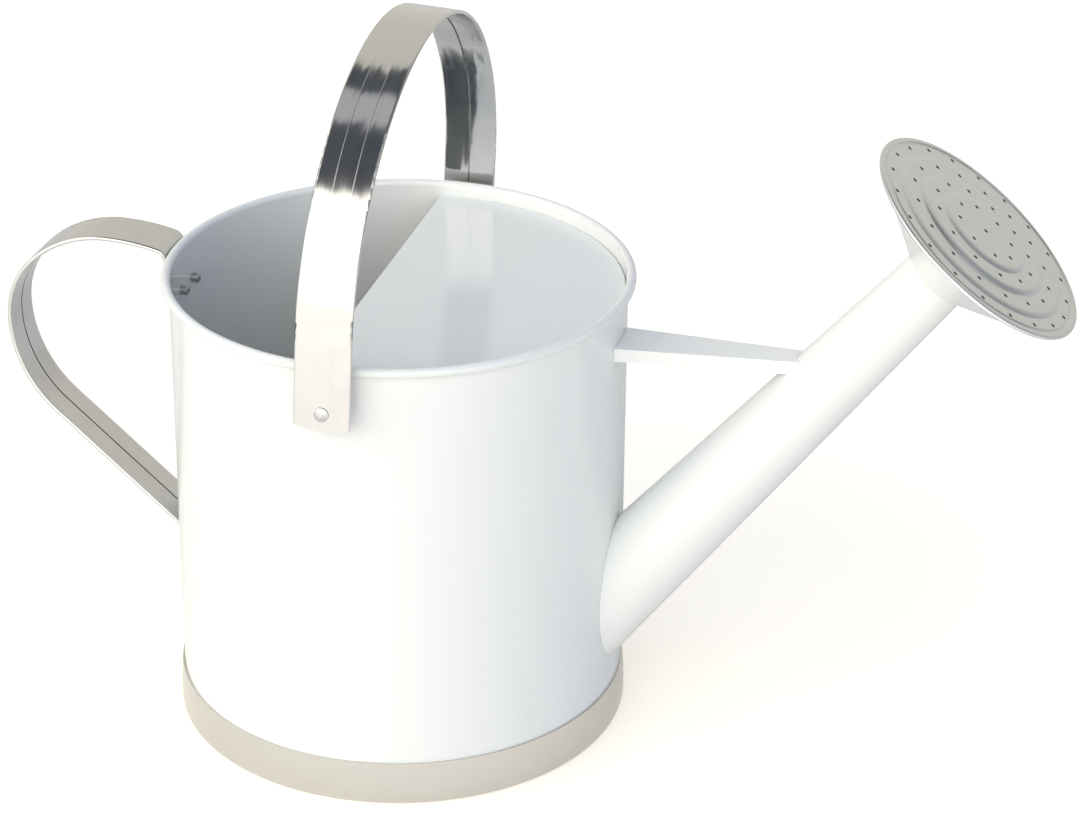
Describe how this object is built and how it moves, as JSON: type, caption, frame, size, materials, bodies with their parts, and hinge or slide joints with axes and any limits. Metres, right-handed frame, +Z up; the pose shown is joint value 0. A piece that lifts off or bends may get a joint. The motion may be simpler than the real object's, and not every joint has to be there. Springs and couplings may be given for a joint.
{
  "type": "watering can",
  "caption": "Round sheet-steel watering can with an upright swinging carry handle, a looped rear handle, a braced slanted spout and a stepped perforated rose.",
  "frame": {"origin": "on the axis of the round body, at the surface that the can stands on", "axes": "+Z up along the body's axis; +X toward the spout; the rear handle is on -X; +Y completes a right-handed frame, and the can is symmetric about the XZ plane"},
  "size_m": [0.4859, 0.2278, 0.3338],
  "materials": {
    "white_paint": "glossy white stoved enamel paint on sheet steel",
    "polished_steel": "polished stainless steel",
    "wire_steel": "plain drawn steel",
    "rivet_aluminium": "plain aluminium blind rivet"
  },
  "bodies": {
    "can": {"body_wall": "white_paint", "rim_wire": "wire_steel", "base_plate": "white_paint", "base_band": "polished_steel", "splash_cover": "white_paint", "spout_tube": "white_paint", "spout_strut": "white_paint", "rose_cone": "white_paint", "rose_face": "polished_steel", "pivot_spacers": "wire_steel", "pivot_rivets": "rivet_aluminium", "pivot_rivet_stems": "wire_steel", "rear_handle": "polished_steel", "rear_handle_rivets": "rivet_aluminium", "rear_rivet_stems": "wire_steel"},
    "carry_handle": {"carry_handle": "polished_steel"}
  },
  "joints": [
    {"name": "carry_handle_swing", "type": "hinge", "parent": "can", "child": "carry_handle", "pos_m": [0, 0, 0.1966], "axis": [0, 1, 0], "range_deg": [-76, 82]}
  ]
}
